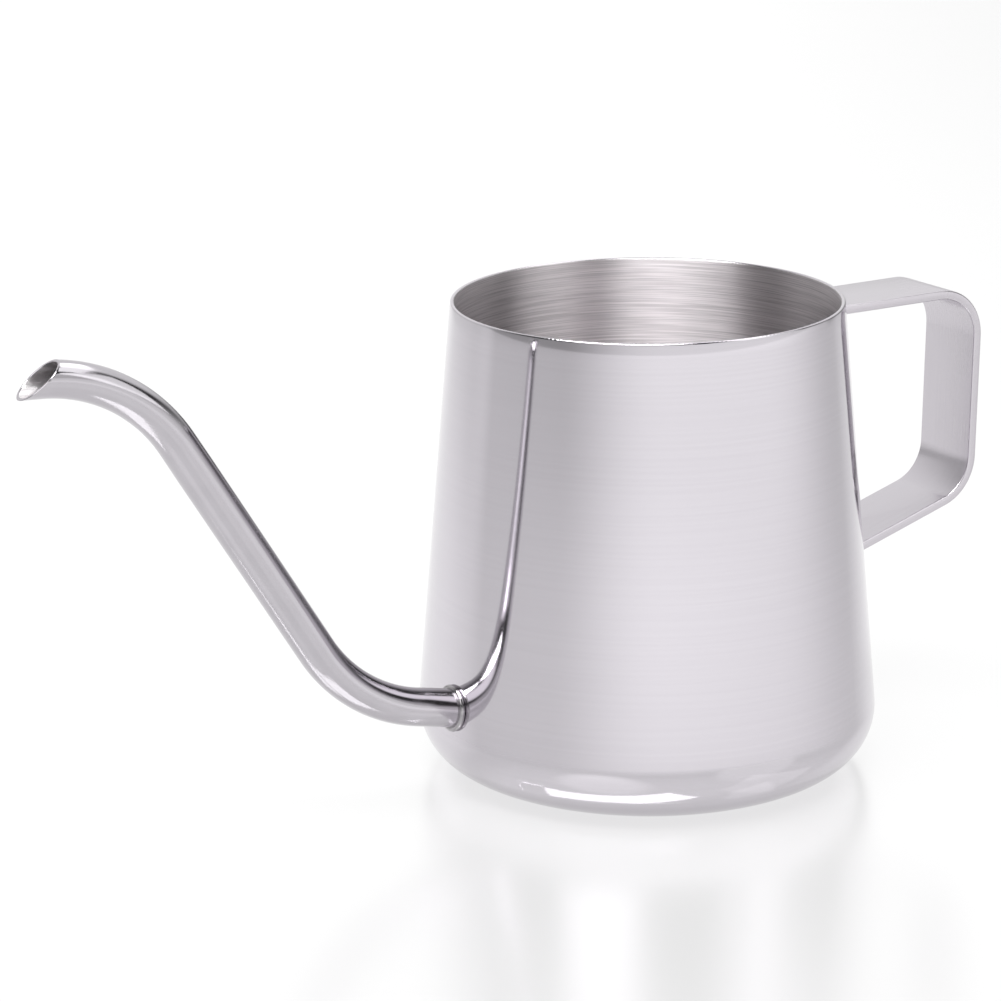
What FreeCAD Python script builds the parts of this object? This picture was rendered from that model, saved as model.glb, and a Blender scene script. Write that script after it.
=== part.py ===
import FreeCAD, Part
import math
import os

import Sketcher
from FreeCAD import Placement, Rotation, Vector

# A small open pouring pot of polished stainless steel: a tapered cup drawn from one sheet, a thin
# gooseneck tube set in low on its wall behind a collar, and a flat strap handle welded on opposite.
# Millimetres and degrees. The origin is the centre of the foot on the cup's axis, +Z is up, the
# spout points to -X and the handle to +X, so the plane y = 0 passes through the middle of both.

SIZES = {
    # Cup, measured outside
    "cup_height": 90.85,
    "mouth_diameter": 74.5,
    "wall_slope": 5.01,
    "wall_thickness": 0.8,
    "rim_round": 0.36,
    "corner_radius": 11.3,
    # Panel pressed up into the base, inside the ring that the cup stands on
    "recess_depth": 0.9,
    "recess_diameter": 54.0,
    "recess_flank": 40.0,
    "recess_bend": 0.6,
    # Spout tube, as a bending schedule of its centre line from the wall to the lip, with the tip's
    # diameter as it is just past the lip
    "tube_diameter": 7.3,
    "tip_diameter": 6.65,
    "tube_wall": 0.6,
    "tube_clearance": 0.05,
    "spout_height": 17.45,
    "root_rise": 12.3,
    "root_run": 7.9,
    "lower_bend": 33.4,
    "neck_rise": 58.0,
    "neck_run": 44.7,
    "taper_run": 6.0,
    "upper_bend": 32.4,
    "lip_rise": 3.0,
    "lip_run": 0.3,
    "lip_cut": 38.0,
    # Collar bead round the tube, square to the wall
    "collar_width": 0.85,
    "collar_height": 1.4,
    "collar_round": 0.55,
    # Strap handle, hung below the rim, as a bending schedule of its centre line from the top down
    "strap_width": 15.6,
    "strap_thickness": 1.77,
    "strap_edge": 0.35,
    "handle_drop": 5.15,
    "grip_reach": 73.55,
    "grip_lean": 1.46,
    "grip_run": 24.3,
    "handle_bend": 9.2,
    "lower_slope": 16.75,
    # Weld bead round each end of the strap
    "weld_leg": 0.5,
    # How far a piece is made past the surface that trims it
    "trim_run": 5.0,
}
# Two heights closer than this are the same
TOUCH = 1e-4

doc = FreeCAD.newDocument("gooseneck_pot")
sheet = doc.addObject("Spreadsheet::Sheet", "sizes")
for row, (alias, value) in enumerate(SIZES.items(), start=1):
    sheet.set(f"A{row}", alias)
    sheet.set(f"B{row}", str(value))
    sheet.setAlias(f"B{row}", alias)
doc.recompute()


# Formulas of the sheet's sizes


def number(formula):
    """The value of a formula, in millimetres or degrees."""
    result = sheet.evalExpression(formula)
    return float(getattr(result, "Value", result))


def sin(alias):
    return f"sin(sizes.{alias} * 1 deg)"


def cos(alias):
    return f"cos(sizes.{alias} * 1 deg)"


def tan(alias):
    return f"tan(sizes.{alias} * 1 deg)"


def wall_radius(height):
    """The cup's outer radius at a height above the foot."""
    return f"(sizes.mouth_diameter / 2 + (sizes.cup_height - ({height})) * {tan('wall_slope')})"


# Where the spout's centre line leaves the wall, where the tube begins to narrow, and the middle of
# the cut at its lip
SPOUT_X = f"-{wall_radius('sizes.spout_height')}"
SPOUT_Z = "sizes.spout_height"
NECK_X = (
    f"{SPOUT_X} - sizes.root_run * {cos('root_rise')}"
    f" - sizes.lower_bend * ({sin('neck_rise')} - {sin('root_rise')})"
    f" - sizes.neck_run * {cos('neck_rise')}"
)
NECK_Z = (
    f"{SPOUT_Z} + sizes.root_run * {sin('root_rise')}"
    f" + sizes.lower_bend * ({cos('root_rise')} - {cos('neck_rise')})"
    f" + sizes.neck_run * {sin('neck_rise')}"
)
LIP_X = (
    f"{NECK_X} - sizes.taper_run * {cos('neck_rise')}"
    f" - sizes.upper_bend * ({sin('neck_rise')} - {sin('lip_rise')})"
    f" - sizes.lip_run * {cos('lip_rise')}"
)
LIP_Z = (
    f"{NECK_Z} + sizes.taper_run * {sin('neck_rise')}"
    f" + sizes.upper_bend * ({cos('lip_rise')} - {cos('neck_rise')})"
    f" + sizes.lip_run * {sin('lip_rise')}"
)

# Where the strap's centre line meets the wall at its top, and where its lower bend ends
TOP_Z = "(sizes.cup_height - sizes.handle_drop - sizes.strap_thickness / 2)"
TOP_X = wall_radius(TOP_Z)
BEND_X = (
    f"sizes.grip_reach - sizes.grip_run * {sin('grip_lean')}"
    f" - sizes.handle_bend * ({cos('grip_lean')} - {sin('lower_slope')})"
)
BEND_Z = (
    f"{TOP_Z} - sizes.handle_bend * (1 + {sin('grip_lean')})"
    f" - sizes.grip_run * {cos('grip_lean')}"
    f" - sizes.handle_bend * ({cos('lower_slope')} - {sin('grip_lean')})"
)
LOW_RUN = (
    f"(({BEND_X}) - {wall_radius(BEND_Z)})"
    f" / ({cos('lower_slope')} + {sin('lower_slope')} * {tan('wall_slope')})"
)
LOW_X = f"{BEND_X} - ({LOW_RUN}) * {cos('lower_slope')}"
LOW_Z = f"{BEND_Z} - ({LOW_RUN}) * {sin('lower_slope')}"


# Sketches


# The points of an edge, and the sketch's own axes and origin, by their indexes
START, END, CENTRE = range(1, 4)
X_AXIS, Y_AXIS = range(-1, -3, -1)
ORIGIN = (X_AXIS, START)


def new_sketch(body, name, plane, x="0", z="0", turn="0"):
    """A sketch in the plane y = 0 ("XZ_Plane"), or across it facing along +X ("YZ_Plane").

    Its origin is put at x, z. In the plane y = 0, turn swings it from +X towards +Z. Across that
    plane, turn is the rise of the direction that it faces.
    """
    sketch = body.newObject("Sketcher::SketchObject", f"{body.Label}_{name}")
    support = [f for f in body.Origin.OriginFeatures if f.Role == plane][0]
    sketch.AttachmentSupport = [(support, "")]
    sketch.MapMode = "FlatFace"
    if plane == "XZ_Plane":
        axis = Vector(0, 0, 1)
        places = {"x": x, "y": z}
    else:
        axis = Vector(-1, 0, 0)
        places = {"y": z, "z": x}
    sketch.AttachmentOffset = Placement(Vector(), Rotation(axis, number(turn)))
    for direction, formula in places.items():
        sketch.setExpression(f"AttachmentOffset.Base.{direction}", formula)
    if turn != "0":
        sketch.setExpression("AttachmentOffset.Rotation.Angle", turn)
    return sketch


def size(sketch, kind, formula, *where):
    """A dimension of a sketch, bound to the sheet."""
    value = number(formula)
    if kind == "Angle":
        value = math.radians(value)
    index = sketch.addConstraint(Sketcher.Constraint(kind, *where, value))
    sketch.setExpression(f"Constraints[{index}]", formula)


def rule(sketch, kind, *where):
    """A constraint of a sketch that has no size of its own."""
    sketch.addConstraint(Sketcher.Constraint(kind, *where))


def line(sketch, start, end):
    return sketch.addGeometry(Part.LineSegment(Vector(*start, 0), Vector(*end, 0)))


def arc(sketch, centre, radius, start, end):
    """An arc drawn anticlockwise between two angles in degrees."""
    circle = Part.Circle(Vector(*centre, 0), Vector(0, 0, 1), radius)
    limits = [math.radians(angle) for angle in (start, end)]
    return sketch.addGeometry(Part.ArcOfCircle(circle, *limits))


def closed_loop(sketch, corners):
    """Straight sides through the corners, each end fixed to the next start."""
    count = len(corners)
    sides = [line(sketch, corners[i], corners[(i + 1) % count]) for i in range(count)]
    for i in range(count):
        rule(sketch, "Coincident", sides[i], END, sides[(i + 1) % count], START)
    return sides


def band(sketch, bottom, width, height):
    """A rectangle against the sketch's upright axis."""
    low = number(bottom)
    high = low + number(height)
    far = number(width)
    sides = closed_loop(sketch, [(0, low), (far, low), (far, high), (0, high)])
    for i in range(4):
        rule(sketch, "Vertical" if i % 2 else "Horizontal", sides[i])
    rule(sketch, "PointOnObject", sides[0], START, Y_AXIS)
    size(sketch, "DistanceY", bottom, sides[0], START)
    size(sketch, "DistanceX", width, sides[0], START, sides[0], END)
    size(sketch, "DistanceY", height, sides[1], START, sides[1], END)


def strap_section(sketch, grown="0"):
    """The strap's cross section with its round edges, or that section grown all round."""
    width = f"sizes.strap_width + 2 * ({grown})"
    height = f"sizes.strap_thickness + 2 * ({grown})"
    corner = f"sizes.strap_edge + {grown}"
    radius = number(corner)
    far_x = number(width) / 2
    far_y = number(height) / 2
    near_x = far_x - radius
    near_y = far_y - radius
    sides = [
        line(sketch, (-near_x, -far_y), (near_x, -far_y)),
        line(sketch, (far_x, -near_y), (far_x, near_y)),
        line(sketch, (near_x, far_y), (-near_x, far_y)),
        line(sketch, (-far_x, near_y), (-far_x, -near_y)),
    ]
    centres = [(near_x, -near_y), (near_x, near_y), (-near_x, near_y), (-near_x, -near_y)]
    turns = [arc(sketch, c, radius, 90 * i - 90, 90 * i) for i, c in enumerate(centres)]
    for i in range(4):
        rule(sketch, "Tangent", sides[i], END, turns[i], START)
        rule(sketch, "Tangent", turns[i], END, sides[(i + 1) % 4], START)
    rule(sketch, "Horizontal", sides[0])
    rule(sketch, "Vertical", sides[1])
    rule(sketch, "Symmetric", turns[0], CENTRE, turns[2], CENTRE, *ORIGIN)
    rule(sketch, "Equal", turns[0], turns[1])
    rule(sketch, "Equal", turns[0], turns[2])
    size(sketch, "Radius", corner, turns[0])
    size(sketch, "DistanceX", width, sides[3], START, sides[1], START)
    size(sketch, "DistanceY", height, sides[0], START, sides[2], START)


def bent_path(sketch, start, headings, runs, bends):
    """A centre line of straight runs with a bend between each two, as a tube or bar is bent.

    Headings are measured from +X towards +Z.
    """
    point = (number(start[0]), number(start[1]))
    straights = []
    turns = []
    for i, run in enumerate(runs):
        heading = number(headings[i])
        way = math.radians(heading)
        length = number(run)
        end = (point[0] + length * math.cos(way), point[1] + length * math.sin(way))
        straights.append(line(sketch, point, end))
        if i == len(bends):
            break
        leaving = number(headings[i + 1])
        side = 1 if leaving > heading else -1
        reach = side * number(bends[i])
        centre = (end[0] - reach * math.sin(way), end[1] + reach * math.cos(way))
        limits = sorted([heading - side * 90, leaving - side * 90])
        turns.append((side, arc(sketch, centre, abs(reach), *limits)))
        way = math.radians(leaving)
        point = (centre[0] + reach * math.sin(way), centre[1] - reach * math.cos(way))
    for i, (side, turn) in enumerate(turns):
        first, last = (START, END) if side > 0 else (END, START)
        rule(sketch, "Tangent", straights[i], END, turn, first)
        rule(sketch, "Tangent", turn, last, straights[i + 1], START)
        size(sketch, "Radius", bends[i], turn)
    size(sketch, "DistanceX", start[0], straights[0], START)
    size(sketch, "DistanceY", start[1], straights[0], START)
    for i, run in enumerate(runs):
        size(sketch, "Angle", headings[i], straights[i])
        size(sketch, "Distance", run, straights[i])


def cup_outline(sketch):
    """Half of the cup's filled outline, from the middle of the base out to the mouth."""
    flank = number("sizes.recess_flank")
    slope = number("sizes.wall_slope")
    depth = number("sizes.recess_depth")
    bend = number("sizes.recess_bend")
    foot_bend = bend + number("sizes.wall_thickness")
    foot = number("sizes.recess_diameter / 2")
    corner = number("sizes.corner_radius")
    height = number("sizes.cup_height")
    mouth = number("sizes.mouth_diameter / 2")
    lean = math.radians(slope)
    fall = math.radians(flank)
    turned = 1 - math.cos(fall)
    flank_run = (depth - (bend + foot_bend) * turned) / math.sin(fall)
    panel = foot - (bend + foot_bend) * math.sin(fall) - flank_run * math.cos(fall)
    upper = (panel + bend * math.sin(fall), depth - bend * turned)
    lower = (foot - foot_bend * math.sin(fall), foot_bend * turned)
    ring = number(wall_radius("0")) - corner * (1 + math.sin(lean)) / math.cos(lean)
    wall_start = (ring + corner * math.cos(lean), corner * (1 + math.sin(lean)))

    base = line(sketch, (0, depth), (panel, depth))
    panel_turn = arc(sketch, (panel, depth - bend), bend, 90 - flank, 90)
    side = line(sketch, upper, lower)
    foot_turn = arc(sketch, (foot, foot_bend), foot_bend, 270 - flank, 270)
    stand = line(sketch, (foot, 0), (ring, 0))
    corner_turn = arc(sketch, (ring, corner), corner, -90, slope)
    wall = line(sketch, wall_start, (mouth, height))
    opening = line(sketch, (mouth, height), (0, height))
    axis = line(sketch, (0, height), (0, depth))

    rule(sketch, "Tangent", base, END, panel_turn, END)
    rule(sketch, "Tangent", panel_turn, START, side, START)
    rule(sketch, "Tangent", side, END, foot_turn, START)
    rule(sketch, "Tangent", foot_turn, END, stand, START)
    rule(sketch, "Tangent", stand, END, corner_turn, START)
    rule(sketch, "Tangent", corner_turn, END, wall, START)
    rule(sketch, "Coincident", wall, END, opening, START)
    rule(sketch, "Coincident", opening, END, axis, START)
    rule(sketch, "Coincident", axis, END, base, START)
    for level in (base, stand, opening):
        rule(sketch, "Horizontal", level)
    rule(sketch, "Vertical", axis)
    rule(sketch, "PointOnObject", axis, START, Y_AXIS)
    rule(sketch, "PointOnObject", stand, START, X_AXIS)
    size(sketch, "DistanceY", "sizes.recess_depth", base, END)
    size(sketch, "Radius", "sizes.recess_bend", panel_turn)
    size(sketch, "Radius", "sizes.recess_bend + sizes.wall_thickness", foot_turn)
    size(sketch, "Angle", "-sizes.recess_flank * 1 deg", side)
    size(sketch, "DistanceX", "sizes.recess_diameter / 2", stand, START)
    size(sketch, "Radius", "sizes.corner_radius", corner_turn)
    size(sketch, "Angle", "90 deg + sizes.wall_slope * 1 deg", wall)
    size(sketch, "DistanceX", "sizes.mouth_diameter / 2", wall, END)
    size(sketch, "DistanceY", "sizes.cup_height", wall, END)


def collar_outline(sketch):
    """Half of the collar's disc, sunk past the wall, with the round edge of its outer face."""
    radius_out = "sizes.tube_diameter / 2 + sizes.collar_width"
    far = number(radius_out)
    high = number("sizes.collar_height")
    low = number("-sizes.trim_run / 2")
    radius = number("sizes.collar_round")
    back = line(sketch, (0, low), (far, low))
    side = line(sketch, (far, low), (far, high - radius))
    turn = arc(sketch, (far - radius, high - radius), radius, 0, 90)
    face = line(sketch, (far - radius, high), (0, high))
    axis = line(sketch, (0, high), (0, low))
    rule(sketch, "Coincident", back, END, side, START)
    rule(sketch, "Tangent", side, END, turn, START)
    rule(sketch, "Tangent", turn, END, face, START)
    rule(sketch, "Coincident", face, END, axis, START)
    rule(sketch, "Coincident", axis, END, back, START)
    rule(sketch, "Horizontal", back)
    rule(sketch, "Vertical", side)
    rule(sketch, "Horizontal", face)
    rule(sketch, "Vertical", axis)
    rule(sketch, "PointOnObject", axis, START, Y_AXIS)
    size(sketch, "Radius", "sizes.collar_round", turn)
    size(sketch, "DistanceX", radius_out, back, END)
    size(sketch, "DistanceY", "-sizes.trim_run / 2", back, END)
    size(sketch, "DistanceY", "sizes.collar_height", face, END)


def wall_slab(sketch, near, width):
    """A slab along the cup's wall, from near, measured square to its outer face, outwards.

    A width of None makes it reach from there inwards to the cup's axis instead.
    """
    low = "-sizes.trim_run"
    high = "sizes.cup_height + sizes.trim_run"
    low_x = f"{wall_radius(low)} + ({near}) / {cos('wall_slope')}"
    high_x = f"{wall_radius(high)} + ({near}) / {cos('wall_slope')}"
    bottom = (number(low_x), number(low))
    top = (number(high_x), number(high))
    reach = 0 if width is None else number(width)
    far_top = (0 if width is None else top[0] + reach, top[1])
    far_bottom = (0 if width is None else bottom[0] + reach, bottom[1])
    sides = closed_loop(sketch, [bottom, top, far_top, far_bottom])
    rule(sketch, "Horizontal", sides[1])
    rule(sketch, "Horizontal", sides[3])
    size(sketch, "DistanceX", low_x, sides[0], START)
    size(sketch, "DistanceY", low, sides[0], START)
    size(sketch, "DistanceX", high_x, sides[0], END)
    size(sketch, "DistanceY", high, sides[0], END)
    if width is None:
        rule(sketch, "Vertical", sides[2])
        rule(sketch, "PointOnObject", sides[2], START, Y_AXIS)
    else:
        rule(sketch, "Parallel", sides[0], sides[2])
        size(sketch, "DistanceX", width, sides[1], START, sides[1], END)


# Features


def new_body(label):
    body = doc.addObject("PartDesign::Body", label)
    body.Label = label
    return body


def cut_made(body, before, name):
    """A cut that points away from its piece removes nothing, so its volume has to fall."""
    doc.recompute()
    if not body.Shape.Volume < before:
        raise RuntimeError(f"{name} removed nothing from {body.Label}")


def revolve(body, name, kind, sketch):
    """A Revolution or Groove all the way round the sketch's upright axis."""
    feature = body.newObject(f"PartDesign::{kind}", f"{body.Label}_{name}")
    feature.Profile = sketch
    feature.ReferenceAxis = (sketch, ["V_Axis"])
    feature.Angle = 360
    return feature


def through(body, name, kind, sketch, length):
    """A Pad or Pocket that runs equally to both sides of its sketch."""
    feature = body.newObject(f"PartDesign::{kind}", f"{body.Label}_{name}")
    feature.Profile = sketch
    feature.Midplane = True
    feature.setExpression("Length", length)
    return feature


def sweep(body, name, profile, path, last=None):
    """A section swept along a path, or changing along it into a last section."""
    feature = body.newObject("PartDesign::AdditivePipe", f"{body.Label}_{name}")
    feature.Profile = profile
    feature.Spine = (path, [f"Edge{i + 1}" for i in range(path.GeometryCount)])
    if last:
        feature.Transformation = "Multisection"
        feature.Sections = [last]
    doc.recompute()


def groove_wall(body, name, near, width):
    """Cut a slab along the wall out of a piece, all the way round the cup."""
    before = body.Shape.Volume
    sketch = new_sketch(body, f"{name}_sketch", "XZ_Plane")
    wall_slab(sketch, near, width)
    revolve(body, name, "Groove", sketch)
    cut_made(body, before, name)


def bore_for_tube(body, radius):
    """Cut a round way along the first straight run of the spout, where it passes the wall."""
    before = body.Shape.Volume
    turn = "90 deg - sizes.root_rise * 1 deg"
    sketch = new_sketch(body, "bore_sketch", "XZ_Plane", SPOUT_X, SPOUT_Z, turn)
    band(sketch, "-sizes.trim_run", radius, "2 * sizes.trim_run")
    revolve(body, "bore", "Groove", sketch)
    cut_made(body, before, "bore")


def at_height(kind, shapes, height):
    """The names of those faces or edges that lie flat at a height."""
    found = []
    for i, shape in enumerate(shapes, start=1):
        box = shape.BoundBox
        if abs(box.ZMin - height) < TOUCH and abs(box.ZMax - height) < TOUCH:
            found.append(f"{kind}{i}")
    return found


# Pieces


def make_cup():
    """The outline turned round, hollowed to a sheet, rounded at the rim and pierced for the spout."""
    body = new_body("cup")
    rim = number("sizes.cup_height")
    outline = new_sketch(body, "outline", "XZ_Plane")
    cup_outline(outline)
    turned = revolve(body, "turned", "Revolution", outline)
    doc.recompute()
    hollow = body.newObject("PartDesign::Thickness", "cup_sheet")
    hollow.Base = (turned, at_height("Face", turned.Shape.Faces, rim))
    hollow.setExpression("Value", "sizes.wall_thickness")
    hollow.Reversed = True
    doc.recompute()
    rounded = body.newObject("PartDesign::Fillet", "cup_rim")
    rounded.Base = (hollow, at_height("Edge", hollow.Shape.Edges, rim))
    rounded.setExpression("Radius", "min(sizes.rim_round; 0.45 * sizes.wall_thickness)")
    doc.recompute()
    bore_for_tube(body, "sizes.tube_diameter / 2 + sizes.tube_clearance")
    return body


def tube_ring(body, name, x, z, rise, diameter):
    """The tube's section across its centre line, where it rises at an angle away from the cup."""
    ring = new_sketch(body, name, "YZ_Plane", x, z, f"-sizes.{rise} * 1 deg")
    for across in (f"sizes.{diameter}", f"sizes.{diameter} - 2 * sizes.tube_wall"):
        edge = ring.addGeometry(Part.Circle(Vector(), Vector(0, 0, 1), number(across) / 2))
        rule(ring, "Coincident", edge, CENTRE, *ORIGIN)
        size(ring, "Diameter", across, edge)
    return ring


def make_spout():
    """The gooseneck: a bent tube, flush inside the cup, drawn narrower and cut slanting at its lip."""
    body = new_body("spout_tube")
    root_x = f"{SPOUT_X} + sizes.trim_run * {cos('root_rise')}"
    root_z = f"{SPOUT_Z} - sizes.trim_run * {sin('root_rise')}"
    end_x = f"{LIP_X} - sizes.trim_run * {cos('lip_rise')}"
    end_z = f"{LIP_Z} + sizes.trim_run * {sin('lip_rise')}"
    root, neck, tip = [f"180 deg - sizes.{r} * 1 deg" for r in ("root_rise", "neck_rise", "lip_rise")]

    stem = new_sketch(body, "stem", "XZ_Plane")
    runs = ["sizes.root_run + sizes.trim_run", "sizes.neck_run"]
    bent_path(stem, (root_x, root_z), [root, neck], runs, ["sizes.lower_bend"])
    first = tube_ring(body, "root_ring", root_x, root_z, "root_rise", "tube_diameter")
    sweep(body, "bent", first, stem)
    crook = new_sketch(body, "crook", "XZ_Plane")
    runs = ["sizes.taper_run", "sizes.lip_run + sizes.trim_run"]
    bent_path(crook, (NECK_X, NECK_Z), [neck, tip], runs, ["sizes.upper_bend"])
    wide = tube_ring(body, "neck_ring", NECK_X, NECK_Z, "neck_rise", "tube_diameter")
    narrow = tube_ring(body, "tip_ring", end_x, end_z, "lip_rise", "tip_diameter")
    sweep(body, "drawn", wide, crook, narrow)

    groove_wall(body, "trim", "-sizes.wall_thickness", None)
    before = body.Shape.Volume
    lip = new_sketch(body, "lip_sketch", "XZ_Plane", LIP_X, LIP_Z, "sizes.lip_cut * 1 deg")
    reach = "2 * sizes.tube_diameter"
    far = number(reach)
    sides = closed_loop(lip, [(-far, 0), (far, 0), (far, far), (-far, far)])
    for i in range(4):
        rule(lip, "Vertical" if i % 2 else "Horizontal", sides[i])
    rule(lip, "Symmetric", sides[0], START, sides[0], END, *ORIGIN)
    size(lip, "DistanceX", reach, sides[0], END)
    size(lip, "DistanceY", reach, sides[1], START, sides[1], END)
    through(body, "lip", "Pocket", lip, reach)
    cut_made(body, before, "lip")
    return body


def make_collar():
    """The bead that covers the joint of tube and wall, lying square on the sloping wall."""
    body = new_body("spout_collar")
    turn = "90 deg - sizes.wall_slope * 1 deg"
    outline = new_sketch(body, "outline", "XZ_Plane", SPOUT_X, SPOUT_Z, turn)
    collar_outline(outline)
    revolve(body, "turned", "Revolution", outline)
    doc.recompute()
    groove_wall(body, "trim", "0", None)
    bore_for_tube(body, "sizes.tube_diameter / 2")
    return body


def make_handle():
    """The strap, bent round the hand and fitted to the round wall at both ends."""
    body = new_body("handle_strap")
    start_x = f"{TOP_X} - sizes.trim_run"
    path = new_sketch(body, "path", "XZ_Plane")
    headings = [
        "0 deg",
        "-90 deg - sizes.grip_lean * 1 deg",
        "-180 deg + sizes.lower_slope * 1 deg",
    ]
    top_run = f"sizes.grip_reach - sizes.handle_bend * {cos('grip_lean')} - ({start_x})"
    runs = [top_run, "sizes.grip_run", f"{LOW_RUN} + sizes.trim_run"]
    bends = ["sizes.handle_bend", "sizes.handle_bend"]
    bent_path(path, (start_x, TOP_Z), headings, runs, bends)
    section = new_sketch(body, "section", "YZ_Plane", start_x, TOP_Z)
    strap_section(section)
    sweep(body, "bent", section, path)
    groove_wall(body, "trim", "0", None)
    return body


def make_weld(label, x, z, rise):
    """The bead of weld that runs round one end of the strap, in the corner that it makes with the wall."""
    body = new_body(label)
    length = "2 * sizes.trim_run"
    outer = new_sketch(body, "outer", "YZ_Plane", x, z, rise)
    strap_section(outer, "sizes.weld_leg")
    through(body, "bead", "Pad", outer, length)
    doc.recompute()
    groove_wall(body, "back", "0", None)
    groove_wall(body, "front", "sizes.weld_leg", "2 * sizes.trim_run")
    before = body.Shape.Volume
    inner = new_sketch(body, "inner", "YZ_Plane", x, z, rise)
    strap_section(inner)
    through(body, "strap_gap", "Pocket", inner, length)
    cut_made(body, before, "strap_gap")
    return body


PIECES = [
    make_cup(),
    make_spout(),
    make_collar(),
    make_handle(),
    make_weld("handle_upper_weld", TOP_X, TOP_Z, "0"),
    make_weld("handle_lower_weld", LOW_X, LOW_Z, "sizes.lower_slope * 1 deg"),
]
doc.recompute()

failed = [o.Name for o in doc.Objects if "Invalid" in o.State or "Error" in o.State]
broken = [p.Label for p in PIECES if p.Shape.isNull() or not p.Shape.isValid()]
split = [p.Label for p in PIECES if len(p.Shape.Solids) != 1]
if failed or broken or split:
    raise RuntimeError(f"failed {failed}, broken {broken}, not one solid {split}")

os.makedirs("parts", exist_ok=True)
for piece in PIECES:
    piece.Shape.exportStep(f"parts/{piece.Label}.step")
    box = piece.Shape.optimalBoundingBox()
    low = [round(v, 2) for v in (box.XMin, box.YMin, box.ZMin)]
    high = [round(v, 2) for v in (box.XMax, box.YMax, box.ZMax)]
    print(f"{piece.Label}: {piece.Shape.Volume:.1f} mm3, from {low} to {high}")
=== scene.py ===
# %% [markdown]
# # A gooseneck pouring kettle in polished steel
#
# The object is a small open pot for pouring over coffee: a tapered cup pressed from one sheet, a
# thin gooseneck tube set in low on its wall, and a flat strap for a handle. Its measured model is
# loaded first and stays fixed. Over it this lesson models smooth pieces that can carry a mirror
# polish, gives each one a finish of its own, and sets up a plain studio.

# %% Load the measured model
import math

import bmesh
import bpy
from mathutils import Euler, Matrix, Vector


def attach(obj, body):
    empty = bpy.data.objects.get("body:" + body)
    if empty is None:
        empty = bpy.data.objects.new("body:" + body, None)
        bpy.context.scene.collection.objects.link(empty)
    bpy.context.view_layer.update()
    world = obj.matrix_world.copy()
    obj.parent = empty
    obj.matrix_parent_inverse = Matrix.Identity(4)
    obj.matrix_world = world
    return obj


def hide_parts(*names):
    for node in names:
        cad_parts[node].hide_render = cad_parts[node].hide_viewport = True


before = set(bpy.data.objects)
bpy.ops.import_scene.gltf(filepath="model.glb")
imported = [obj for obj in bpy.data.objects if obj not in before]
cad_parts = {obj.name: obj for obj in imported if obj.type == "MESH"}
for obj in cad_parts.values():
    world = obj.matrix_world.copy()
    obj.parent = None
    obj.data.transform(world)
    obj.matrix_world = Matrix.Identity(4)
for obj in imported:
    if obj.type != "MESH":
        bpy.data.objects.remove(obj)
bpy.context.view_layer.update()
MM = 0.001
print("nodes:", sorted(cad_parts))

# %% [markdown]
# ## Camera
#
# The photograph was taken with a long lens from a little above the rim, turned so that the spout
# comes towards the left front. A camera that is placed first lets every later piece be compared
# with the photograph. It is set by its place and three turns, because those were measured.

# %% Camera
CAMERA_PLACE = Vector((-0.37747, -0.56233, 0.24374))
CAMERA_TURN = -31.5
CAMERA_DIP = 15.864
CAMERA_ROLL = -0.48
SENSOR_WIDTH = 36
LENS = 132.13

bpy.ops.object.select_all(action="DESELECT")
bpy.ops.object.camera_add()
camera = bpy.context.object
aim = Euler((math.radians(90 - CAMERA_DIP), 0, math.radians(CAMERA_TURN))).to_matrix().to_4x4()
roll = Matrix.Rotation(math.radians(CAMERA_ROLL), 4, "Z")
camera.matrix_world = Matrix.Translation(CAMERA_PLACE) @ aim @ roll
camera.data.sensor_width = SENSOR_WIDTH
camera.data.lens = LENS
bpy.context.scene.camera = camera
print("camera", round(CAMERA_PLACE.length, 3), "m from the foot")

# %% [markdown]
# ## Tools for the bench
#
# Every piece here is made by one of two moves: a profile is drawn out in straight runs and bends,
# and what was drawn is trimmed. A pen that remembers its place and heading in the middle plane of
# the pot draws all of them: one point for the cup's outline, a ring for the tube and a rounded
# bar for the strap. Straight runs are Extrude, and bends are Spin, as one would do by hand.

# %% Start a piece, and choose parts of it
MERGE_REACH = 0.002 * MM


def begin(name, add, **place):
    """Add a primitive with its place in its mesh, and go into edit mode."""
    if bpy.context.mode != "OBJECT":
        bpy.ops.object.mode_set(mode="OBJECT")
    bpy.ops.object.select_all(action="DESELECT")
    add(**place)
    piece = bpy.context.object
    piece.name = name
    bpy.ops.object.transform_apply(location=True, rotation=True, scale=True)
    bpy.ops.object.mode_set(mode="EDIT")
    return piece


def choose(piece, kind, test):
    """Select each vertex, edge or face whose corners all pass a test of their place."""
    bpy.ops.mesh.select_mode(type=kind)
    bpy.ops.mesh.select_all(action="DESELECT")
    mesh = bmesh.from_edit_mesh(piece.data)
    parts = {"VERT": mesh.verts, "EDGE": mesh.edges, "FACE": mesh.faces}[kind]
    for part in parts:
        corners = [part] if kind == "VERT" else part.verts
        part.select_set(all(test(corner.co) for corner in corners))
    bmesh.update_edit_mesh(piece.data)


def close_seams():
    """Merge doubled points and turn all faces outwards."""
    bpy.ops.mesh.select_all(action="SELECT")
    bpy.ops.mesh.remove_doubles(threshold=MERGE_REACH)
    bpy.ops.mesh.normals_make_consistent(inside=False)


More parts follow.
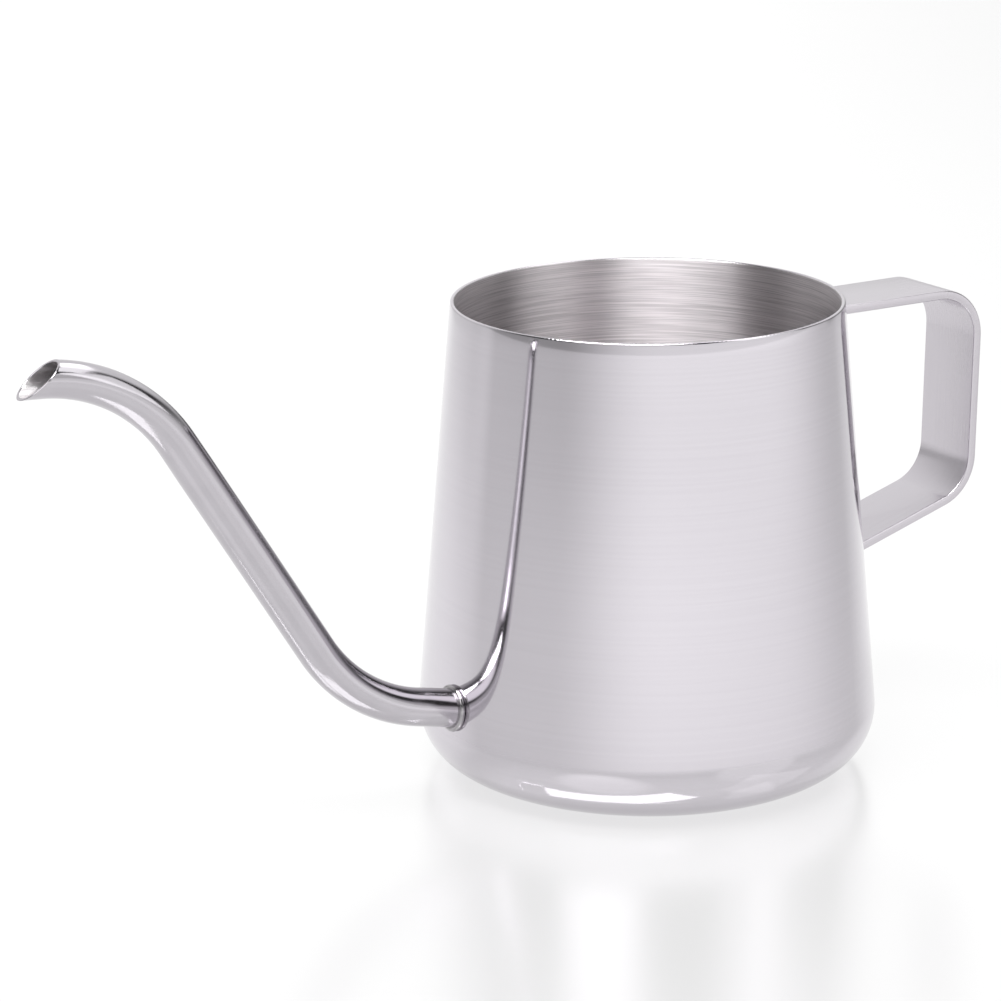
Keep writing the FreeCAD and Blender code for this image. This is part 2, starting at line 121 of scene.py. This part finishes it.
# %% A pen for runs and bends
class Pen:
    """Draws what is selected along the plane y = 0. Headings go from +X towards +Z, in degrees."""

    def __init__(self, x, z, heading):
        self.place = Vector((x, 0, z))
        self.heading = heading

    def ahead(self):
        """The direction of the heading."""
        way = math.radians(self.heading)
        return Vector((math.cos(way), 0, math.sin(way)))

    def run(self, length, pieces=1):
        """Go straight on, in equal pieces."""
        for _ in range(pieces):
            step = self.ahead() * (length / pieces)
            bpy.ops.mesh.extrude_region_move(TRANSFORM_OT_translate={"value": step})
            self.place += step

    def bend(self, turn, radius, steps):
        """Go round an arc, to the left when the turn is positive."""
        left = Matrix.Rotation(math.radians(-90), 3, "Y") @ self.ahead()
        centre = self.place + left * math.copysign(radius, turn)
        bpy.ops.mesh.spin(steps=steps, angle=math.radians(turn), center=centre, axis=(0, 1, 0))
        swing = Matrix.Rotation(math.radians(-turn), 3, "Y")
        self.place = centre + swing @ (self.place - centre)
        self.heading += turn

    def scale(self, factor):
        """Widen or narrow what is selected about the pen's place."""
        bpy.ops.transform.resize(value=(factor,) * 3, center_override=self.place)


# %% Finish a piece
SMOOTH_ANGLE = 40


def apply_modifier(piece, kind, **settings):
    """Add a modifier to a piece in object mode and apply it."""
    modifier = piece.modifiers.new(kind.lower(), kind)
    for name, value in settings.items():
        setattr(modifier, name, value)
    bpy.context.view_layer.objects.active = piece
    bpy.ops.object.modifier_apply(modifier=modifier.name)


def thicken(piece, thickness):
    """Give an outer skin its sheet, inwards, with a second material slot for the inner side."""
    for _ in ("outside", "inside"):
        piece.data.materials.append(None)
    apply_modifier(
        piece, "SOLIDIFY", thickness=thickness, offset=-1, use_even_offset=True, material_offset=1
    )


def trim(piece, cutter):
    """Cut one piece by another, which is used up."""
    bpy.ops.object.mode_set(mode="OBJECT")
    apply_modifier(piece, "BOOLEAN", operation="DIFFERENCE", solver="EXACT", object=cutter)
    bpy.data.objects.remove(cutter)


def finish(piece):
    """Leave edit mode and shade the piece smooth, except at its sharp edges."""
    if bpy.context.mode != "OBJECT":
        bpy.ops.object.mode_set(mode="OBJECT")
    bpy.ops.object.select_all(action="DESELECT")
    piece.select_set(True)
    bpy.context.view_layer.objects.active = piece
    bpy.ops.object.shade_smooth_by_angle(angle=math.radians(SMOOTH_ANGLE))
    print(piece.name, len(piece.data.polygons), "faces")


# %% [markdown]
# ## Cup
#
# The cup is drawn from one disc of sheet: a panel pressed up in the base so that it stands on a
# ring, a large round corner, and a wall that leans in towards the mouth. A lathe shape could also
# come from a curve, but a point that is drawn out and bent by its real radii keeps every corner a
# true arc. Spin then turns the outline round, and Solidify gives it the thickness of the sheet.

# %% Cup outline
CUP_HEIGHT = 90.85 * MM
MOUTH_RADIUS = 37.25 * MM
WALL_SLOPE = 5.01
SHEET = 0.8 * MM
CORNER = 11.3 * MM
PANEL_RISE = 0.9 * MM
PANEL_FLANK = 40
PANEL_BEND = 0.6 * MM
FOOT_RADIUS = 27.0 * MM
FOOT_BEND = PANEL_BEND + SHEET
ROUND_STEPS = 288

lean = math.radians(WALL_SLOPE)
half_flank = math.tan(math.radians(PANEL_FLANK / 2))
flank_run = PANEL_RISE / math.sin(math.radians(PANEL_FLANK)) - (PANEL_BEND + FOOT_BEND) * half_flank
panel_run = FOOT_RADIUS - FOOT_BEND * half_flank
panel_run -= PANEL_RISE / math.tan(math.radians(PANEL_FLANK)) + PANEL_BEND * half_flank


def wall_radius(height):
    """The cup's outer radius at a height above the foot."""
    return MOUTH_RADIUS + (CUP_HEIGHT - height) * math.tan(lean)


ring_run = wall_radius(0) - CORNER * (1 + math.sin(lean)) / math.cos(lean) - FOOT_RADIUS
wall_run = (CUP_HEIGHT - CORNER * (1 + math.sin(lean))) / math.cos(lean)

cup = begin("cup_polished", bpy.ops.mesh.primitive_plane_add, size=MM, location=(0, 0, PANEL_RISE))
bpy.ops.mesh.merge(type="CENTER")
pen = Pen(0, PANEL_RISE, 0)
pen.run(panel_run, pieces=6)
pen.bend(-PANEL_FLANK, PANEL_BEND, steps=6)
pen.run(flank_run)
pen.bend(PANEL_FLANK, FOOT_BEND, steps=6)
pen.run(ring_run, pieces=2)
pen.bend(90 + WALL_SLOPE, CORNER, steps=36)
pen.run(wall_run, pieces=28)
print("rim at", [round(v / MM, 2) for v in pen.place])

# %% Cup turned, thickened and rounded at the rim
RIM_ROUND = 0.36 * MM
RIM_BAND = 0.2 * MM

bpy.ops.mesh.select_all(action="SELECT")
bpy.ops.mesh.spin(steps=ROUND_STEPS, angle=2 * math.pi, center=(0, 0, 0), axis=(0, 0, 1))
close_seams()
bpy.ops.object.mode_set(mode="OBJECT")
thicken(cup, SHEET)
bpy.ops.object.mode_set(mode="EDIT")
choose(cup, "EDGE", lambda co: co.z > CUP_HEIGHT - RIM_BAND)
bpy.ops.mesh.bevel(offset=RIM_ROUND, segments=6, affect="EDGES", clamp_overlap=True)
finish(cup)

# %% [markdown]
# ## Spout
#
# The spout is a thin tube bent twice, like a goose's neck: it leaves the wall low down, climbs,
# and levels out at the tip, where it is drawn a little narrower and cut slanting so that the
# stream breaks off cleanly. A curve with a round bevel would be quicker, but a ring that is drawn
# out by the same bends as the real tube keeps its cut ends easy to shape.

# %% Spout tube
TUBE_RADIUS = 3.65 * MM
TIP_RADIUS = 3.325 * MM
TUBE_WALL = 0.4 * MM
SPOUT_HEIGHT = 17.45 * MM
ROOT_RISE = 12.3
NECK_RISE = 58.0
LIP_RISE = 3.0
TRIM_RUN = 5.0 * MM
ROOT_RUN = 7.9 * MM
LOWER_BEND = 33.4 * MM
NECK_RUN = 44.7 * MM
TAPER_RUN = 6.0 * MM
UPPER_BEND = 32.4 * MM
LIP_RUN = 0.3 * MM
TAPER_STEPS = 40
TUBE_SIDES = 96

root = Pen(-wall_radius(SPOUT_HEIGHT), SPOUT_HEIGHT, 180 - ROOT_RISE)
start = root.place - root.ahead() * TRIM_RUN
spout = begin(
    "spout_polished",
    bpy.ops.mesh.primitive_circle_add,
    vertices=TUBE_SIDES,
    radius=TUBE_RADIUS,
    location=start,
    rotation=(0, math.radians(90 - root.heading), 0),
)
pen = Pen(start.x, start.z, root.heading)
pen.run(TRIM_RUN + ROOT_RUN, pieces=4)
pen.bend(ROOT_RISE - NECK_RISE, LOWER_BEND, steps=40)
pen.run(NECK_RUN, pieces=12)

# The narrowing is spread evenly over the last stretch of the tube
crook = UPPER_BEND * math.radians(NECK_RISE - LIP_RISE)
narrowing = (TUBE_RADIUS - TIP_RADIUS) / (TAPER_RUN + crook + LIP_RUN + TRIM_RUN)
radius = TUBE_RADIUS


def narrow(length):
    """Shrink the leading ring by what the tube narrows over a length."""
    global radius
    pen.scale(1 - narrowing * length / radius)
    radius -= narrowing * length


pen.run(TAPER_RUN)
narrow(TAPER_RUN)
for _ in range(TAPER_STEPS):
    pen.bend((NECK_RISE - LIP_RISE) / TAPER_STEPS, UPPER_BEND, steps=1)
    narrow(crook / TAPER_STEPS)
pen.run(LIP_RUN)
narrow(LIP_RUN)
lip = pen.place.copy()
pen.run(TRIM_RUN)
narrow(TRIM_RUN)
print("lip at", [round(v / MM, 2) for v in lip], "tip radius", round(radius / MM, 3))

# %% Spout wall and slanting lip
LIP_CUT = 38.0
LIP_BREAK = 0.06 * MM
CUT_THRESHOLD = 0.001 * MM
CUT_REACH = 0.005 * MM

close_seams()
bpy.ops.object.mode_set(mode="OBJECT")
thicken(spout, TUBE_WALL)
bpy.ops.object.mode_set(mode="EDIT")
slant = math.radians(LIP_CUT)
cut_normal = Vector((-math.sin(slant), 0, math.cos(slant)))
cut_place = lip - cut_normal * LIP_BREAK
bpy.ops.mesh.select_all(action="SELECT")
bpy.ops.mesh.bisect(
    plane_co=cut_place, plane_no=cut_normal, clear_outer=True, threshold=CUT_THRESHOLD
)


def at_cut(co):
    """Whether a point lies in the plane of the cut."""
    return abs((co - cut_place).dot(cut_normal)) < CUT_REACH


choose(spout, "VERT", at_cut)
bpy.ops.mesh.remove_doubles(threshold=LIP_BREAK)
choose(spout, "EDGE", at_cut)
bpy.ops.mesh.bridge_edge_loops()
close_seams()
choose(spout, "FACE", at_cut)
bpy.ops.mesh.inset(thickness=LIP_BREAK, depth=LIP_BREAK)
print("lip cut", LIP_CUT, "degrees from level")


# %% Spout root, cut flush with the inside of the cup
# Heights between which the wall is followed round the tube
SPOUT_ZONE = (5 * MM, 40 * MM)


def wall_cone(name, depth, low, high):
    """A solid cone that follows the cup's wall at a depth under its outer face."""
    inset = depth / math.cos(lean)
    return begin(
        name,
        bpy.ops.mesh.primitive_cone_add,
        vertices=ROUND_STEPS,
        radius1=wall_radius(low) - inset,
        radius2=wall_radius(high) - inset,
        depth=high - low,
        location=(0, 0, (low + high) / 2),
    )


trim(spout, wall_cone("cavity", SHEET, *SPOUT_ZONE))
finish(spout)

# %% [markdown]
# ## The hole in the wall
#
# The tube passes through the wall, so from above its open end can be seen inside the cup. The hole
# could be left out under the collar, but then the spout would look blocked. A short bar along the
# tube's axis cuts it, with a hair of clearance.

# %% Hole for the spout
TUBE_CLEARANCE = 0.05 * MM


def bar_along_root(name, radius):
    """A short round bar along the first run of the tube."""
    return begin(
        name,
        bpy.ops.mesh.primitive_cylinder_add,
        vertices=TUBE_SIDES,
        radius=radius,
        depth=2 * TRIM_RUN,
        location=root.place,
        rotation=(0, math.radians(90 - root.heading), 0),
    )


trim(cup, bar_along_root("bar", TUBE_RADIUS + TUBE_CLEARANCE))
finish(cup)

# %% [markdown]
# ## Collar
#
# A small rolled bead hides the joint of tube and wall. It lies square on the sloping wall, so it
# is turned about the wall's normal there, not about the tube. A torus has the bead's round back,
# and trimming it with the wall and the tube leaves the two creases that read as dark lines.

# %% Collar
BEAD_RADIUS = 0.55 * MM
BEAD_LIFT = 0.75
COLLAR_WIDTH = 0.8 * MM
COLLAR_RADIUS = TUBE_RADIUS + COLLAR_WIDTH

out = Vector((-math.cos(lean), 0, math.sin(lean)))
collar = begin(
    "collar_polished",
    bpy.ops.mesh.primitive_torus_add,
    major_segments=128,
    minor_segments=32,
    major_radius=COLLAR_RADIUS - BEAD_RADIUS,
    minor_radius=BEAD_RADIUS,
    location=root.place + out * BEAD_LIFT * BEAD_RADIUS,
    rotation=(0, math.radians(WALL_SLOPE - 90), 0),
)
trim(collar, wall_cone("cup_body", 0, *SPOUT_ZONE))
trim(collar, bar_along_root("bar", TUBE_RADIUS))
finish(collar)

# %% [markdown]
# ## Handle
#
# The handle is one flat strap with eased edges, bent twice round the hand and welded to the wall
# at both ends. Its end section is a plane whose corners are rounded with a vertex bevel. Extrude
# and Spin draw that section round the bends, and the cone of the wall trims both ends.

# %% Handle strap
STRAP_WIDTH = 15.6 * MM
STRAP_THICKNESS = 1.77 * MM
STRAP_EDGE = 0.35 * MM
HANDLE_DROP = 5.15 * MM
GRIP_REACH = 73.55 * MM
GRIP_LEAN = 1.46
GRIP_RUN = 24.3 * MM
HANDLE_BEND = 9.2 * MM
LOWER_SLOPE = 16.75
STRAP_ZONE = (5 * MM, CUP_HEIGHT + 5 * MM)

top = CUP_HEIGHT - HANDLE_DROP - STRAP_THICKNESS / 2
start = Vector((wall_radius(top) - TRIM_RUN, 0, top))
strap = begin(
    "handle_satin",
    bpy.ops.mesh.primitive_plane_add,
    size=1,
    location=start,
    rotation=(0, math.radians(90), 0),
)
bpy.ops.transform.resize(value=(1, STRAP_WIDTH, STRAP_THICKNESS), center_override=start)
bpy.ops.mesh.bevel(offset=STRAP_EDGE, segments=5, affect="VERTICES")
pen = Pen(start.x, start.z, 0)
pen.run(GRIP_REACH - HANDLE_BEND * math.cos(math.radians(GRIP_LEAN)) - start.x)
pen.bend(-90 - GRIP_LEAN, HANDLE_BEND, steps=28)
pen.run(GRIP_RUN)
pen.bend(GRIP_LEAN + LOWER_SLOPE - 90, HANDLE_BEND, steps=24)
pen.run(pen.place.x - wall_radius(pen.place.z) + TRIM_RUN)
close_seams()
trim(strap, wall_cone("cup_body", 0, *STRAP_ZONE))
finish(strap)
print("strap box", [round(v / MM, 1) for v in strap.dimensions])

# %% [markdown]
# ## Effects shared by the finishes
#
# Polished steel is never quite even: cloths leave soft smudges, and buffing leaves hair lines. The
# same two effects turn up on every piece in different strengths, so each is one node group. The
# groups put out only values that change over the surface, and each material uses them its own way.


# %% A group to hold one effect
def new_group(name, inputs, outputs):
    """A node group with named value sockets, and its input and output nodes."""
    group = bpy.data.node_groups.new(name, "ShaderNodeTree")
    for label, kind, default in inputs:
        socket = group.interface.new_socket(label, in_out="INPUT", socket_type=kind)
        socket.default_value = default
    for label in outputs:
        group.interface.new_socket(label, in_out="OUTPUT", socket_type="NodeSocketFloat")
    return group, group.nodes.new("NodeGroupInput"), group.nodes.new("NodeGroupOutput")


# %% Values that are worked out over a surface
def feed(tree, socket, value):
    """Link a socket to another one, or set it to a plain value."""
    if isinstance(value, bpy.types.NodeSocket):
        tree.links.new(value, socket)
    else:
        socket.default_value = value


def combine(tree, operation, first, second):
    """Two values brought together by a sum, a product or another operation."""
    node = tree.nodes.new("ShaderNodeMath")
    node.operation = operation
    feed(tree, node.inputs[0], first)
    feed(tree, node.inputs[1], second)
    return node.outputs["Value"]


def combine_vectors(tree, operation, first, second):
    """Two vectors brought together, as outputs named Vector and Value."""
    node = tree.nodes.new("ShaderNodeVectorMath")
    node.operation = operation
    feed(tree, node.inputs[0], first)
    feed(tree, node.inputs[1], second)
    return node.outputs


def blend(tree, factor, first, second):
    """The first value where a factor is 0, and the second where it is 1."""
    node = tree.nodes.new("ShaderNodeMix")
    feed(tree, node.inputs[0], factor)
    feed(tree, node.inputs[2], first)
    feed(tree, node.inputs[3], second)
    return node.outputs[0]


def spread(tree, value, low, high, to_low=0.0, to_high=1.0):
    """Map a value from one range to another with soft ends."""
    node = tree.nodes.new("ShaderNodeMapRange")
    node.interpolation_type = "SMOOTHSTEP"
    for label, number in zip(("From Min", "From Max", "To Min", "To Max"), (low, high, to_low, to_high)):
        node.inputs[label].default_value = number
    tree.links.new(value, node.inputs["Value"])
    return node.outputs["Result"]


def noise(tree, vector, scale, detail, roughness):
    """Soft noise over a vector."""
    node = tree.nodes.new("ShaderNodeTexNoise")
    node.inputs["Scale"].default_value = scale
    node.inputs["Detail"].default_value = detail
    node.inputs["Roughness"].default_value = roughness
    tree.links.new(vector, node.inputs["Vector"])
    return node.outputs["Fac"]


def surface_place(tree):
    """The place on the object itself, so that an effect moves with it."""
    return tree.nodes.new("ShaderNodeTexCoord").outputs["Object"]


# %% Smudges of a polishing cloth
CLOUD_RANGE = (0.35, 0.75)

smudges, given, result = new_group(
    "cloth_smudges", [("Size", "NodeSocketFloat", 0.03), ("Amount", "NodeSocketFloat", 0.02)], ["Haze"]
)
wide = smudges.nodes.new("ShaderNodeVectorMath")
wide.operation = "SCALE"
smudges.links.new(surface_place(smudges), wide.inputs[0])
smudges.links.new(combine(smudges, "DIVIDE", 1.0, given.outputs["Size"]), wide.inputs["Scale"])
clouds = noise(smudges, wide.outputs["Vector"], scale=1.0, detail=5.0, roughness=0.6)
clouds = spread(smudges, clouds, *CLOUD_RANGE)
smudges.links.new(combine(smudges, "MULTIPLY", clouds, given.outputs["Amount"]), result.inputs["Haze"])
print("group", smudges.name, "gives haze that is added to roughness")

# %% Hair lines of buffing and brushing
LINE_RANGE = (0.3, 0.7)
BAND_SCALE = 0.23

hairlines, given, result = new_group(
    "hair_lines",
    [("Stretch", "NodeSocketVector", (30, 30, 3000)), ("Coarse", "NodeSocketFloat", 0.3)],
    ["Lines", "Bands"],
)
stretched = combine_vectors(
    hairlines, "MULTIPLY", surface_place(hairlines), given.outputs["Stretch"]
)["Vector"]
fine = noise(hairlines, stretched, scale=1.0, detail=3.0, roughness=0.7)
broad = noise(hairlines, stretched, scale=BAND_SCALE, detail=2.0, roughness=0.5)
mixed = blend(hairlines, given.outputs["Coarse"], fine, broad)
hairlines.links.new(spread(hairlines, mixed, *LINE_RANGE), result.inputs["Lines"])
hairlines.links.new(spread(hairlines, broad, *LINE_RANGE), result.inputs["Bands"])
print("group", hairlines.name, "gives fine lines and the broader bands they lie in")

# %% [markdown]
# ## Finishes
#
# All pieces are stainless steel, and only the last step of their making differs: the outside of
# the cup and the spout are buffed bright, the inside of the cup keeps the rings of the brush, the
# strap is satin, and the welds are ground. So each finish is one metal whose colour, roughness and
# fine relief come from the two shared effects.


# %% One steel, finished in several ways
QUARTER_TURN = 0.25
LINE_DEPTH = 0.02 * MM


def steel(name, colour, dull, rough, grain, haze, stretch, coarse, relief, anisotropy=0.0):
    """A stainless steel: colour and a duller shade of it, roughness with grain and haze, and relief."""
    material = bpy.data.materials.new(name)
    material.use_nodes = True
    tree = material.node_tree
    shader = tree.nodes["Principled BSDF"]
    shader.inputs["Metallic"].default_value = 1.0
    shader.inputs["Anisotropic"].default_value = anisotropy
    shader.inputs["Anisotropic Rotation"].default_value = QUARTER_TURN
    lines = tree.nodes.new("ShaderNodeGroup")
    lines.node_tree = hairlines
    lines.inputs["Stretch"].default_value = stretch
    lines.inputs["Coarse"].default_value = coarse
    cloth = tree.nodes.new("ShaderNodeGroup")
    cloth.node_tree = smudges
    cloth.inputs["Amount"].default_value = haze
    shade = tree.nodes.new("ShaderNodeMix")
    shade.data_type = "RGBA"
    shade.inputs[6].default_value = (*dull, 1)
    shade.inputs[7].default_value = (*colour, 1)
    tree.links.new(lines.outputs["Bands"], shade.inputs[0])
    tree.links.new(shade.outputs[2], shader.inputs["Base Color"])
    streaks = spread(tree, lines.outputs["Lines"], 0.0, 1.0, rough - grain, rough + grain)
    tree.links.new(combine(tree, "ADD", streaks, cloth.outputs["Haze"]), shader.inputs["Roughness"])
    bump = tree.nodes.new("ShaderNodeBump")
    bump.inputs["Strength"].default_value = relief
    bump.inputs["Distance"].default_value = LINE_DEPTH
    tree.links.new(lines.outputs["Lines"], bump.inputs["Height"])
    tree.links.new(bump.outputs["Normal"], shader.inputs["Normal"])
    return material


bright = steel(
    "steel_bright_outside", (0.645, 0.618, 0.657), (0.635, 0.608, 0.647),
    rough=0.07, grain=0.008, haze=0.02, stretch=(60, 60, 9000), coarse=0.1, relief=0.0004,
)
brushed = steel(
    "steel_brushed_inside", (0.93, 0.888, 0.908), (0.67, 0.64, 0.654),
    rough=0.42, grain=0.08, haze=0.02, stretch=(300, 300, 26000), coarse=0.25, relief=0.06, anisotropy=1.0,
)
mirror = steel(
    "steel_mirror_spout", (0.545, 0.523, 0.555), (0.53, 0.509, 0.54),
    rough=0.12, grain=0.03, haze=0.03, stretch=(900, 900, 900), coarse=0.5, relief=0.01,
)
drawn = steel(
    "steel_drawn_bore", (0.9, 0.875, 0.89), (0.8, 0.775, 0.785),
    rough=0.32, grain=0.05, haze=0.03, stretch=(200, 3000, 3000), coarse=0.4, relief=0.05,
)
bead = steel(
    "steel_mirror_collar", (0.44, 0.425, 0.44), (0.38, 0.365, 0.38),
    rough=0.1, grain=0.03, haze=0.03, stretch=(1500, 1500, 1500), coarse=0.5, relief=0.03,
)
satin = steel(
    "steel_satin_handle", (0.655, 0.625, 0.665), (0.64, 0.61, 0.65),
    rough=0.23, grain=0.03, haze=0.04, stretch=(60, 9000, 60), coarse=0.2, relief=0.003,
)
ground = steel(
    "steel_ground_weld", (0.6, 0.575, 0.605), (0.52, 0.5, 0.525),
    rough=0.26, grain=0.06, haze=0.03, stretch=(1800, 1800, 1800), coarse=0.6, relief=0.1,
)
print("finishes:", [m.name for m in bpy.data.materials if m.name.startswith("steel_")])

# %% [markdown]
# ## Dress the pieces
#
# Each smooth piece stands for the measured node that it was modelled over and moves with the pot.
# The cup and the spout take two finishes, because Solidify has marked the side that it made. The
# two small weld beads keep their measured shape and only get their finish.

# %% Finishes, and what each piece stands for
DRESSED = [
    (cup, (bright, brushed), "cup", "cup_steel"),
    (spout, (mirror, drawn), "spout_tube", "spout_steel"),
    (collar, (bead,), "spout_collar", "spout_steel"),
    (strap, (satin,), "handle_strap", "handle_steel"),
]
for piece, materials, node, slot in DRESSED:
    for index, material in enumerate(materials):
        if index < len(piece.data.materials):
            piece.data.materials[index] = material
        else:
            piece.data.materials.append(material)
    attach(piece, "root")
    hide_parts(node)
for node in ("handle_upper_weld", "handle_lower_weld"):
    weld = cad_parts[node]
    weld.data.materials.clear()
    weld.data.materials.append(ground)
print("dressed", len(DRESSED), "pieces and kept two weld beads")

# %% [markdown]
# ## Studio
#
# The photograph is a plain catalogue picture: a white glossy table that runs back into white, one
# large soft light overhead on the left, and a dim room, which the steel shows as its few dark lines.
# A wall behind the pot would stand in the way of other views, so the white backdrop and the dim room
# are painted on the sky, where only the steel and the table's gloss see them. Two small soft lights on
# the right fill the inside of the cup and the upper bend of the spout.

# %% Floor
FLOOR_SIZE = 12.0
# A pool of light painted into the glow that the steel sees of the table: its centre, its reach and how
# much brighter it is
PAINTED_POOL_PLACE = (-0.2, -0.22, 0)
PAINTED_POOL_REACH = 0.55
PAINTED_POOL_LEVEL = 0.2
# What the steel sees of the table, and what the camera sees of it: white, with a soft mirror image
FLOOR_LOOKS = {
    "Base Color": (0.2, 0.1),
    "Emission Color": (0.56, 0.76),
    "Roughness": (0.05, 0.3),
    "Coat Weight": (0.6, 1.0),
    "Coat IOR": (1.5, 1.7),
    "Coat Roughness": (0.03, 0.22),
}

bpy.ops.object.select_all(action="DESELECT")
bpy.ops.mesh.primitive_plane_add(size=FLOOR_SIZE)
floor = bpy.context.object
floor.name = "floor"
plate = bpy.data.materials.new("plate_white")
plate.use_nodes = True
tree = plate.node_tree
shader = tree.nodes["Principled BSDF"]
camera_sees = tree.nodes.new("ShaderNodeLightPath").outputs["Is Camera Ray"]
for socket, (to_steel, to_camera) in FLOOR_LOOKS.items():
    tree.links.new(blend(tree, camera_sees, to_steel, to_camera), shader.inputs[socket])
# A soft pool of light, where the overhead light would leave one, is painted into the glow that the steel
# sees of the table, and the lower wall of the pot shows it
distance = combine_vectors(tree, "DISTANCE", surface_place(tree), PAINTED_POOL_PLACE)["Value"]
painted_pool = spread(tree, distance, 0.0, PAINTED_POOL_REACH, 1.0 + PAINTED_POOL_LEVEL, 1.0)
tree.links.new(blend(tree, camera_sees, painted_pool, 1.0), shader.inputs["Emission Strength"])
floor.data.materials.append(plate)
print("floor of", FLOOR_SIZE, "m")

# %% Sky: white for the camera, and a studio for the steel
ROOM_LEVEL = 0.05
BACK_LEVEL = 0.94
HIGH_LEVEL = 0.95
SIDE_LEVEL = 0.7
LEFT_LEVEL = 1.9
TABLE_LEVEL = 0.38
FRONT_LEVEL = 0.64
GAP_DEPTH = 0.9
SHADE_DEPTH = 0.4
CAMERA_LEVEL = 1.0

world = bpy.context.scene.world or bpy.data.worlds.new("studio")
bpy.context.scene.world = world
world.use_nodes = True
tree = world.node_tree
sky = tree.nodes["Background"]
way = tree.nodes.new("ShaderNodeTexCoord").outputs["Generated"]


def towards(direction, low, high, to_low=0.0, to_high=1.0):
    """A value over the sky that changes towards a direction."""
    likeness = combine_vectors(tree, "DOT_PRODUCT", way, direction)["Value"]
    return spread(tree, likeness, low, high, to_low, to_high)


def patch(turn, rise, core, edge, level, around=0.0):
    """A round patch of sky: its direction, where it is full and where it ends, all in degrees."""
    turn, rise, core, edge = (math.radians(angle) for angle in (turn, rise, core, edge))
    direction = (math.cos(rise) * math.cos(turn), math.cos(rise) * math.sin(turn), math.sin(rise))
    return towards(direction, math.cos(edge), math.cos(core), around, level)


def low_down(full, gone):
    """1 low on the sky and 0 higher up, between two heights given as sines of their elevation."""
    return towards((0, 0, 1), full, gone, 1.0, 0.0)


# Panels of the studio: behind the pot, high behind it, on the right of the camera and on the left
panels = [
    patch(75, 0, 30, 84, BACK_LEVEL, ROOM_LEVEL),
    patch(32, 40, 18, 36, HIGH_LEVEL),
    patch(-66, 20, 17, 24, SIDE_LEVEL),
    patch(212, 42, 12, 24, LEFT_LEVEL),
]
# A pale strip low down all round, brightest in front
front = patch(-84, 0, 26, 90, TABLE_LEVEL + FRONT_LEVEL, TABLE_LEVEL)
panels.append(combine(tree, "MULTIPLY", front, low_down(0.12, 0.42)))
# Darker gaps low on the sky: a deep one at the table's far edge, and a shade on each side of it
gaps = [
    (patch(22, 0, 16, 24, GAP_DEPTH), low_down(0.06, 0.12)),
    (patch(35, 0, 10, 24, SHADE_DEPTH), low_down(0.14, 0.24)),
    (patch(104, 0, 14, 32, SHADE_DEPTH), low_down(0.14, 0.24)),
]

studio = panels[0]
for panel in panels[1:]:
    studio = combine(tree, "MAXIMUM", studio, panel)
for gap, height in gaps:
    kept = combine(tree, "SUBTRACT", 1.0, combine(tree, "MULTIPLY", gap, height))
    studio = combine(tree, "MULTIPLY", studio, kept)
camera_sees = tree.nodes.new("ShaderNodeLightPath").outputs["Is Camera Ray"]
tree.links.new(blend(tree, camera_sees, studio, CAMERA_LEVEL), sky.inputs["Strength"])
sky.inputs["Color"].default_value = (1, 1, 1, 1)
print("sky with", len(panels), "panels and", len(gaps), "darker gaps")


# %% Soft lights
def softbox(name, place, aim, width, depth, level):
    """A flat soft light of a brightness, at a place, facing a point, that the camera doesn't see."""
    place = Vector(place)
    bpy.ops.object.light_add(type="AREA", location=place)
    light = bpy.context.object
    light.name = name
    light.data.shape = "RECTANGLE"
    light.data.size = width
    light.data.size_y = depth
    light.data.energy = level * math.pi * width * depth
    light.visible_camera = False
    light.rotation_euler = (Vector(aim) - place).to_track_quat("-Z", "Y").to_euler()


softbox(
    "overhead_left", place=(-0.273, -0.145, 0.951), aim=(0, 0, 0.05),
    width=0.9, depth=0.36, level=13.0,
)
softbox(
    "right_wall", place=(0.36, -0.05, 0.78), aim=(-0.1, -0.05, 0.5),
    width=0.9, depth=0.3, level=1.5,
)
softbox(
    "near_right", place=(0.15, -0.2, 0.25), aim=(-0.13, 0, 0.095),
    width=0.22, depth=0.17, level=1.1,
)

# %% [markdown]
# ## View transform
#
# The render uses Blender's Standard view transform.

# %% View transform
bpy.context.scene.view_settings.view_transform = "Standard"
